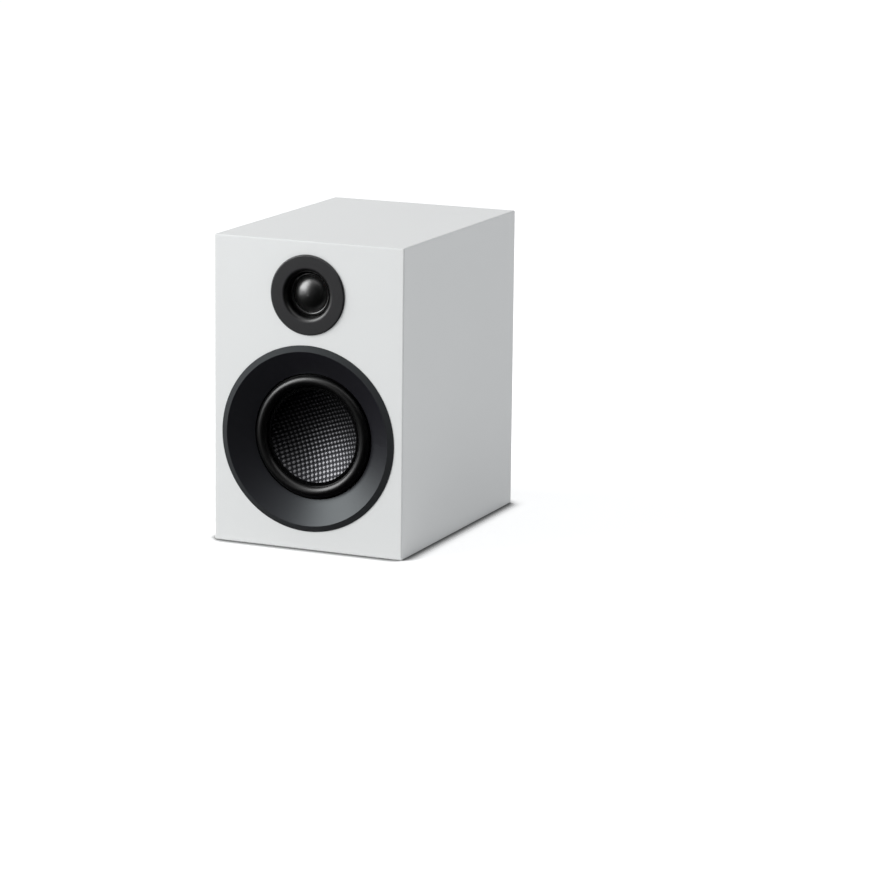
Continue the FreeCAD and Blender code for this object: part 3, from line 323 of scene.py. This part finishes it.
# The woofer's trim ring is one turned moulding: a bevelled grey rim on the baffle and a wide
# satin black dish, fine grained, that falls to the surround. It clips over the flange.
woofer_low, woofer_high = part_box("woofer_trim_ring")
woofer_axis = (woofer_low + woofer_high) / 2
rim_inner = 63.9 * MM
satin = Finish("ring_satin", specular_ior_level=0.54, specular_tint=(0.90, 0.98, 1, 1))
spot = satin.place(move=(-woofer_axis.x, 0, -woofer_axis.z))
x, y, z = satin.axes(spot)
radius = (x * x + z * z).math("SQRT")
on_rim = radius.ramp(rim_inner - 0.1 * MM, rim_inner + 0.1 * MM)
grain = satin.noise(spot, 1500, 2.0)
satin.feed(
    color=satin.tint(on_rim, (0.0100, 0.0092, 0.0128), (0.016, 0.016, 0.018)),
    roughness=on_rim * 0.28 + grain * 0.08 + 0.38,
    bump=grain, depth=0.012 * MM)
satin.on("woofer_trim_ring")

paint = Finish("basket_paint", roughness=0.5, base_color=(0.02, 0.02, 0.02, 1))
paint.feed(bump=paint.noise(paint.place(), 700, 3.0), depth=0.08 * MM)
paint.on("woofer_basket")

gasket = Finish("gasket_foam", base_color=(0.015, 0.015, 0.015, 1), roughness=0.95, specular_ior_level=0.2)
gasket.feed(bump=gasket.noise(gasket.place(), 1800, 3.0), depth=0.15 * MM)
gasket.on("woofer_gasket", "tweeter_gasket", "terminal_gasket")

blackened = Finish("blackened_steel", base_color=(0.03, 0.03, 0.032, 1), metallic=0.8, roughness=0.4)
blackened.feed(bump=blackened.noise(blackened.place(), 1200, 2.0), depth=0.02 * MM)
blackened.on("woofer_screws", "tweeter_screws", "terminal_screws", "board_screws")


# The surround is a half-roll of soft black rubber with two flat feet, glued to the basket's
# flange outside and to the cone's rim inside. It stretches as the cone moves, so it is made
# in sectors, and its feet are smoother than its roll.
surround_low, surround_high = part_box("woofer_surround")
foot, outer_foot = 2.6 * MM, 3.4 * MM
outer_edge = (surround_high.x - surround_low.x) / 2 - outer_foot
inner_edge = 36.6 * MM
roll_wall = 0.5 * MM
foot_back = surround_high.y
foot_face = foot_back - roll_wall
crest = foot_face - surround_low.y


def roll_arc(inner, outer, base, rise, count):
    """Points of a round arch from inner to outer, rising to the front by rise."""
    half, middle = (outer - inner) / 2, (outer + inner) / 2
    arch = (half ** 2 + rise ** 2) / (2 * rise)
    reach = math.asin(half / arch) if rise < half else math.pi - math.asin(half / arch)
    return [(middle + arch * math.sin(angle), base - rise + arch - arch * math.cos(angle))
            for angle in (reach * (2 * step / count - 1) for step in range(count + 1))]


def sector(name, outline, axis, start, sweep, steps):
    """Spins a closed outline of (radius, y) points round an axis along Y into a sector."""
    clear_selection()
    bpy.ops.mesh.primitive_circle_add(vertices=len(outline), radius=1, fill_type="NGON")
    piece = bpy.context.object
    piece.name = name
    for vertex, (reach, y) in zip(piece.data.vertices, outline):
        vertex.co = (reach * math.cos(start) + axis.x, y, reach * math.sin(start) + axis.z)
    bpy.ops.object.mode_set(mode="EDIT")
    bpy.ops.mesh.select_all(action="SELECT")
    bpy.ops.mesh.spin(steps=steps, angle=sweep, center=(axis.x, 0, axis.z), axis=(0, 1, 0),
                      use_normal_flip=False)
    bpy.ops.mesh.select_all(action="SELECT")
    bpy.ops.mesh.normals_make_consistent(inside=False)
    bpy.ops.object.mode_set(mode="OBJECT")
    bpy.ops.object.shade_smooth_by_angle(angle=math.radians(40))
    return piece


rubber = Finish("soft_rubber", base_color=(0.0012, 0.0012, 0.0014, 1), specular_ior_level=0.70)
spot = rubber.place(move=(-woofer_axis.x, 0, -woofer_axis.z))
x, y, z = rubber.axes(spot)
radius = (x * x + z * z).math("SQRT")
half_roll = (outer_edge - inner_edge) / 2
on_roll = abs(radius - (inner_edge + half_roll)).ramp(half_roll - 0.6 * MM, half_roll, 1, 0)
bloom = rubber.noise(spot, 60, 3.0)
rubber.feed(roughness=on_roll * 0.16 + bloom * 0.10 + 0.14,
            bump=rubber.noise(spot, 1600, 2.0), depth=0.01 * MM)

arc_steps, spin_steps = 28, 6
front_arc = roll_arc(inner_edge, outer_edge, foot_face, crest, arc_steps)
back_arc = roll_arc(inner_edge + roll_wall, outer_edge - roll_wall, foot_back, crest, arc_steps)
section = [(inner_edge - foot, foot_face), *front_arc, (outer_edge + outer_foot, foot_face),
           (outer_edge + outer_foot, foot_back), *reversed(back_arc), (inner_edge - foot, foot_back)]
sectors = 72
sweep = 2 * math.pi / sectors
for count in range(sectors):
    start = sweep * count
    piece = sector("surround_sector_%02d" % count, section, woofer_axis, start, sweep, spin_steps)
    piece.data.materials.append(rubber.material)
    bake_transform(piece)
    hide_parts("woofer_surround")


# The cone is one shallow dish pressed from a plain weave of resin-coated glass tows, laid on
# the bias, with a flat rim glued under the surround's foot.
cone_low, cone_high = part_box("woofer_cone")
rim_radius = (cone_high.x - cone_low.x) / 2
bowl_edge = inner_edge - foot / 2
rim_face = cone_low.y
pressed_wall, woven_wall = 0.8 * MM, 0.5 * MM
sag = cone_high.y - rim_face - pressed_wall
fade_width = 1.2 * MM
bowl_radius = (bowl_edge ** 2 + sag ** 2) / (2 * sag)
tow, weave_turn, tow_rise = 2.15 * MM, math.radians(63.5), 0.22 * MM


def tow_height(across, up):
    """Height of the woven face, from -1 to 1: one family of tows lies over where it is above 0."""
    return math.cos(math.pi * across / tow) * math.cos(math.pi * up / tow)


clear_selection()
fineness = 180
bpy.ops.mesh.primitive_grid_add(x_subdivisions=fineness, y_subdivisions=fineness, size=2)
cone = bpy.context.object
cone.name = "woven_cone"
for vertex in cone.data.vertices:
    u, v, _ = vertex.co
    across, up = u * math.sqrt(1 - v * v / 2) * rim_radius, v * math.sqrt(1 - u * u / 2) * rim_radius
    reach = min(math.hypot(across, up), bowl_edge)
    depth = rim_face + sag - bowl_radius + math.sqrt(bowl_radius ** 2 - reach ** 2)
    turned = (across * math.cos(weave_turn) + up * math.sin(weave_turn),
              up * math.cos(weave_turn) - across * math.sin(weave_turn))
    fade = min(1.0, max(0.0, (inner_edge - foot - reach) / fade_width))
    face = depth - (tow_height(*turned) - 1) * tow_rise * fade
    vertex.co = (woofer_axis.x + across, face, woofer_axis.z + up)
bpy.ops.object.mode_set(mode="EDIT")
bpy.ops.mesh.select_all(action="SELECT")
bpy.ops.mesh.normals_make_consistent(inside=False)
bpy.ops.object.mode_set(mode="OBJECT")
if cone.data.polygons[0].normal.y > 0:
    cone.data.flip_normals()
shell = cone.modifiers.new("wall", "SOLIDIFY")
shell.thickness, shell.offset = woven_wall, -1
bpy.ops.object.modifier_apply(modifier="wall")
bpy.ops.object.shade_smooth_by_angle(angle=math.radians(60))

glass = Finish("woven_glass", metallic=1.0)
spot = glass.place(move=(-woofer_axis.x, 0, -woofer_axis.z))
turned = glass.node("ShaderNodeMapping", {}, {"Vector": spot, "Rotation": (0, weave_turn, 0)})
x, y, z = glass.axes(turned)
strands = glass.noise(turned, 2600, 1.0)
over = (x * (math.pi / tow)).math("COSINE") * (z * (math.pi / tow)).math("COSINE")
over = over.ramp(0.0, 0.55)
# The weave's over and under cells are real; the bright reflective colour on the tows that lie over is a
# painted glint, and the dark colour in the hollows under them is painted shade.
glass.feed(color=glass.tint(over, (0.026, 0.026, 0.029), (0.21, 0.21, 0.22)),
           roughness=over * -0.04 + strands * 0.08 + 0.46, bump=strands, depth=0.02 * MM)
cone.data.materials.append(glass.material)
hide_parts("woofer_cone")
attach(cone, "woofer_moving")


# The voice coils are enamelled copper wire on a thin former.
copper = Finish("enamelled_copper", metallic=0.9, roughness=0.3, base_color=(0.62, 0.26, 0.11, 1))
x, y, z = copper.axes(copper.place())
wire = 0.52 * MM
copper.feed(bump=(y * (2 * math.pi / wire)).math("SINE"), depth=0.05 * MM)
copper.on("woofer_voice_coil", "tweeter_voice_coil", "bass_inductor", "treble_inductor")


# Behind the dish a rippled spider of resin-dipped cotton centres the coil. The motor is a
# ferrite ring between two zinc-plated steel plates, with a pole through its middle.
cotton = Finish("dipped_cotton", roughness=0.8)
spot = cotton.place()
thread = cotton.noise(spot, 1500, 2.0)
cotton.feed(color=cotton.tint(thread, (0.42, 0.30, 0.11), (0.66, 0.52, 0.26)), bump=thread, depth=0.1 * MM)
cotton.on("woofer_spider")

zinc = Finish("zinc_plate", metallic=1.0, base_color=(0.62, 0.63, 0.65, 1))
spangle = zinc.noise(zinc.place(), 240, 3.0)
zinc.feed(roughness=spangle * 0.15 + 0.25, bump=zinc.noise(zinc.place(), 1500, 2.0), depth=0.01 * MM)
zinc.on("woofer_top_plate", "woofer_pole_plate", "tweeter_top_plate", "tweeter_pot", "tweeter_pole_disc",
        "board_standoffs", "grille_discs")


# The tweeter's ring is a satin charcoal moulding whose mouth rolls inwards, over a frame
# screwed to the baffle. Where the mouth rolls into the recess, its colour is painted near
# black as shade.
tweeter_low, tweeter_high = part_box("tweeter_trim_ring")
tweeter_axis = (tweeter_low + tweeter_high) / 2
mouth_edge, ring_edge = 19.2 * MM, tweeter_high.x - 0.7 * MM
charcoal = Finish("charcoal_moulding", specular_ior_level=0.75)
spot = charcoal.place(move=(-tweeter_axis.x, 0, -tweeter_axis.z))
x, y, z = charcoal.axes(spot)
radius = (x * x + z * z).math("SQRT")
face_past_painted_shade = radius.ramp(mouth_edge - 0.9 * MM, mouth_edge + 0.5 * MM)
grain = charcoal.noise(spot, 1500, 2.0)
# Inside the mouth the near-black colour is painted shade in the recess.
charcoal.feed(
    color=charcoal.tint(face_past_painted_shade, (0.0015, 0.0015, 0.0015), (0.0125, 0.0122, 0.0140)),
    roughness=face_past_painted_shade * 0.08 + radius.ramp(ring_edge, ring_edge + 0.2 * MM, 0, -0.18) + (grain * 0.08 + 0.32),
    bump=grain, depth=0.01 * MM, edge=0.7 * MM)
charcoal.on("tweeter_trim_ring")

moulding = Finish("black_moulding", base_color=(0.008, 0.008, 0.008, 1), roughness=0.5)
moulding.feed(bump=moulding.noise(moulding.place(), 1300, 2.0), depth=0.02 * MM)
moulding.on("tweeter_frame")


# The dome is soft silk, coated black, with a narrow rubber roll round it.
silk = Finish("coated_silk", base_color=(0.003, 0.003, 0.003, 1), specular_ior_level=1.0,
              coat_weight=1.0, coat_roughness=0.34)
spot = silk.place()
mesh = silk.noise(spot, 2500, 1.0)
silk.feed(roughness=mesh * 0.06 + 0.30, bump=mesh, depth=0.003 * MM)
silk.on("tweeter_dome")

roll = Finish("rubber_roll", base_color=(0.003, 0.003, 0.003, 1), specular_ior_level=0.9)
roll.feed(roughness=roll.noise(roll.place(), 400, 2.0) * 0.08 + 0.20)
roll.on("tweeter_surround")


# Gold-plated brass: the binding posts with their nuts and lugs, and the tweeter's tabs.
gold = Finish("plated_brass", metallic=1.0, base_color=(0.83, 0.60, 0.25, 1))
tarnish = gold.noise(gold.place(), 120, 3.0)
gold.feed(roughness=tarnish * 0.15 + 0.18, bump=gold.noise(gold.place(), 900, 2.0), depth=0.005 * MM)
gold.on("red_post", "black_post", "post_nuts", "input_lugs", "tweeter_tabs")


# The port tube and the terminal plate are matt black mouldings with a fine spark texture.
spark = Finish("spark_texture", base_color=(0.016, 0.016, 0.016, 1), roughness=0.6, specular_ior_level=0.4)
pebble = spark.noise(spark.place(), 1100, 2.0)
spark.feed(roughness=pebble * 0.15 + 0.5, bump=pebble, depth=0.06 * MM)
spark.on("port_tube", "terminal_plate")


# Collars, thrust washers and fluted caps are glossy plastic, red for plus, black for minus.
for name, low, high, parts in (
        ("red_plastic", (0.50, 0.012, 0.012), (0.60, 0.020, 0.018),
         ("red_cap", "red_collar", "red_thrust_washer")),
        ("black_plastic", (0.012, 0.012, 0.012), (0.018, 0.018, 0.018),
         ("black_cap", "black_collar", "black_thrust_washer", "woofer_tab_strip"))):
    gloss = Finish(name, specular_ior_level=0.5)
    flow = gloss.noise(gloss.place(), 140, 2.0)
    gloss.feed(color=gloss.tint(flow, low, high), roughness=flow * 0.10 + 0.18)
    gloss.on(*parts)


# The crossover is a green laminate board on brass standoffs behind the terminals.
laminate = Finish("board_laminate", roughness=0.45)
weave = laminate.noise(laminate.place(), 700, 2.0)
laminate.feed(color=laminate.tint(weave, (0.02, 0.13, 0.045), (0.035, 0.20, 0.07)))
laminate.on("crossover_board")
film = Finish("capacitor_film", roughness=0.25)
film.feed(color=film.tint(film.noise(film.place(), 90, 2.0), (0.45, 0.07, 0.05), (0.58, 0.11, 0.08)))
film.on("capacitors")
ceramic = Finish("resistor_ceramic", roughness=0.8)
chalk = ceramic.noise(ceramic.place(), 900, 3.0)
ceramic.feed(color=ceramic.tint(chalk, (0.74, 0.73, 0.68), (0.86, 0.85, 0.81)), bump=chalk, depth=0.05 * MM)
ceramic.on("resistor")
jacket = Finish("lead_jacket", base_color=(0.02, 0.02, 0.02, 1), roughness=0.5)
jacket.feed(bump=jacket.noise(jacket.place(), 800, 2.0), depth=0.03 * MM)
jacket.on("input_leads", "woofer_leads", "tweeter_leads")


# The grille is a black board with a round window for each driver. Its cloth is one piece,
# stretched over the front, folded round all four edges and glued behind. Lifted off, it
# leans on the cabinet's left side; on the baffle, four magnets hold it.
grille_joint = next(joint for joint in frame["joints"] if joint["name"] == "grille_carry")
pivot = Vector(grille_joint["pos_m"])
full_turn = math.radians(grille_joint["range_deg"][1])
lift_off = (Matrix.Translation(pivot) @ Matrix.Rotation(-full_turn, 4, Vector(grille_joint["axis"]))
            @ Matrix.Translation(-pivot))
margin, grille_wall, side_round, gap = 1.6 * MM, 6.6 * MM, 5.0 * MM, 0.3 * MM
cloth_size = Vector((2 * (half_width - margin), grille_wall, height - 2 * margin))

clear_selection()
cloth_back, cloth_front = front - gap, front - gap - grille_wall
cloth_middle = (0, front - gap - grille_wall / 2, height / 2)
bpy.ops.mesh.primitive_cube_add(size=1, location=cloth_middle, scale=cloth_size)
cloth = bpy.context.object
cloth.name = "grille_cloth_sheet"
bpy.ops.object.transform_apply(location=True, rotation=True, scale=True)
bpy.ops.object.mode_set(mode="EDIT")
bpy.ops.mesh.select_all(action="DESELECT")
bpy.ops.mesh.select_mode(type="FACE")
bpy.ops.object.mode_set(mode="OBJECT")
for face in cloth.data.polygons:
    face.select = face.normal.y > 0.9
bpy.ops.object.mode_set(mode="EDIT")
bpy.ops.mesh.delete(type="FACE")
near = 0.1 * MM
for long_edges, size, segments in ((True, side_round, 10), (False, 0.9 * MM, 4)):
    bpy.ops.mesh.select_all(action="DESELECT")
    bpy.ops.mesh.select_mode(type="EDGE")
    bpy.ops.object.mode_set(mode="OBJECT")
    for edge in cloth.data.edges:
        a, b = (cloth.data.vertices[index].co for index in edge.vertices)
        on_front = max(a.y, b.y) < cloth_front + near
        tall = abs(a.z - b.z) > height / 2
        from_middle = max(abs(a.z - height / 2), abs(b.z - height / 2))
        at_end = from_middle > height / 2 - margin - near and abs(a.z - b.z) < MM
        at_end = at_end and min(a.y, b.y) <= cloth_back - near
        edge.select = (on_front and tall) if long_edges else (at_end and abs(a.y - b.y) < side_round)
    bpy.ops.object.mode_set(mode="EDIT")
    bpy.ops.mesh.bevel(offset=size, segments=segments, affect="EDGES")
bpy.ops.mesh.select_all(action="SELECT")
bpy.ops.mesh.normals_make_consistent(inside=False)
bpy.ops.uv.cube_project(cube_size=1.0)
bpy.ops.object.mode_set(mode="OBJECT")
stretched = cloth.modifiers.new("cloth", "SOLIDIFY")
stretched.thickness, stretched.offset = 0.5 * MM, -1
bpy.ops.object.modifier_apply(modifier="cloth")
bpy.ops.object.shade_smooth_by_angle(angle=math.radians(50))
cloth.data.transform(lift_off)

weave = Finish("grille_weave", roughness=0.9, specular_ior_level=0.04)
where = weave.node("ShaderNodeUVMap")
u, v, _ = weave.axes(where)
pitch = 0.7 * MM
across = (u * (math.pi / pitch)).math("SINE")
up = (v * (math.pi / pitch)).math("SINE")
yarn = abs(across * up)
weave.feed(color=weave.tint(yarn, (0.0004, 0.0004, 0.0004), (0.0040, 0.0040, 0.0040)),
           bump=yarn, depth=0.15 * MM)
cloth.data.materials.append(weave.material)
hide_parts("grille_cloth")
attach(cloth, "grille")

board_black = Finish("grille_board", base_color=(0.010, 0.010, 0.010, 1), roughness=0.7,
                     specular_ior_level=0.3)
board_black.feed(bump=board_black.noise(board_black.place(), 900, 3.0), depth=0.08 * MM)
board_black.on("grille_frame")


# The finished model's box, without the backdrop and hidden parts, is measured.
low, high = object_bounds()
